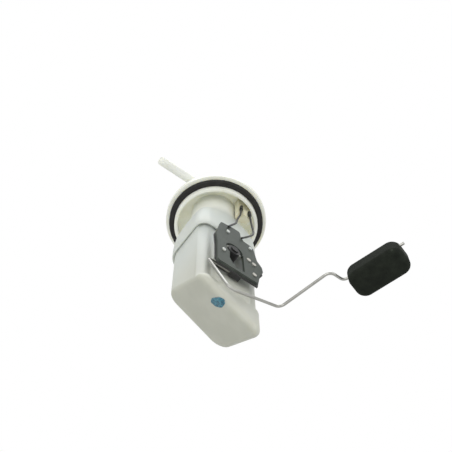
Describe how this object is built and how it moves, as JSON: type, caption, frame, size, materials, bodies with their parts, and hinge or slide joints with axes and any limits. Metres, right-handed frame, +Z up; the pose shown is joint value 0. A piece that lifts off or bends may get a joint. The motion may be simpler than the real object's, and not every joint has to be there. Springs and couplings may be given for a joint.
{
  "type": "fuel pump module",
  "caption": "In-tank fuel pump module: round flange with hose nipple and gasket, boxy resin reservoir holding the pump, and a level sender with a bent wire arm and foam float.",
  "frame": {"origin": "centre of the flange's seating face, on the axis of the tank opening", "axes": "+Z up out of the tank along the flange axis, +X towards the float's side, -Y out of the level sender's face"},
  "size_m": [0.1388, 0.1566, 0.1888],
  "materials": {
    "white_resin": "satin",
    "black_rubber": "matte",
    "brass_plating": "satin",
    "natural_nylon": "satin",
    "grey_resin": "satin",
    "zinc_steel": "satin",
    "black_resin": "satin",
    "bright_steel": "satin",
    "copper_brass": "satin",
    "dark_ferrite": "matte",
    "strainer_cloth": "matte",
    "resistor_ceramic": "matte",
    "black_foam": "matte",
    "black_lead": "satin"
  },
  "bodies": {
    "module": {"flange": "white_resin", "flange_gasket": "black_rubber", "connector_terminals": "brass_plating", "terminal_block": "natural_nylon", "housing_cap": "white_resin", "reservoir": "white_resin", "sender_plate": "grey_resin", "sender_frame": "black_resin", "pump_can": "zinc_steel", "pump_end_cap": "black_resin", "chamber_plate": "black_resin", "pump_inlet_plate": "black_resin", "magnets": "dark_ferrite", "brushes": "dark_ferrite", "pump_damper": "black_rubber", "outlet_tube": "black_rubber", "check_spring": "bright_steel", "check_guide": "black_resin", "regulator_body": "zinc_steel", "regulator_oring": "black_rubber", "regulator_spring": "bright_steel", "strainer_frame": "natural_nylon", "strainer_mesh": "strainer_cloth", "resistor_card": "resistor_ceramic", "sender_rivets": "copper_brass", "pivot_pin": "bright_steel", "sender_lead_left": "black_lead", "sender_lead_right": "black_lead", "lead_crimps": "black_lead"},
    "float_lever": {"arm_holder": "black_resin", "wiper": "copper_brass", "float_arm": "bright_steel"},
    "level_float": {"float": "black_foam"},
    "rotor": {"rotor_shaft": "bright_steel", "armature_core": "zinc_steel", "commutator": "copper_brass", "impeller": "natural_nylon"},
    "outlet_valve": {"check_valve": "black_rubber"},
    "relief_valve": {"regulator_valve": "bright_steel"}
  },
  "joints": [
    {"name": "float_arm_pivot", "type": "hinge", "parent": "module", "child": "float_lever", "pos_m": [-0.0055, -0.027, -0.099], "axis": [0, -1, 0], "range_deg": [-10, 48]},
    {"name": "float_swivel", "type": "hinge", "parent": "float_lever", "child": "level_float", "pos_m": [0.05648, -0.095, -0.1424], "axis": [0.2917, -0.9565, 0], "continuous": true},
    {"name": "rotor_spin", "type": "hinge", "parent": "module", "child": "rotor", "pos_m": [-0.003, -0.0015, -0.07], "axis": [0, 0, 1], "continuous": true},
    {"name": "outlet_check_lift", "type": "slide", "parent": "module", "child": "outlet_valve", "axis": [0, 0, 1], "range_m": [0, 0.0012], "stiffness_N_per_m": 200, "deforming": ["check_spring"]},
    {"name": "relief_valve_lift", "type": "slide", "parent": "module", "child": "relief_valve", "axis": [0, 0, -1], "range_m": [0, 0.001], "stiffness_N_per_m": 200, "deforming": ["regulator_spring"]}
  ]
}
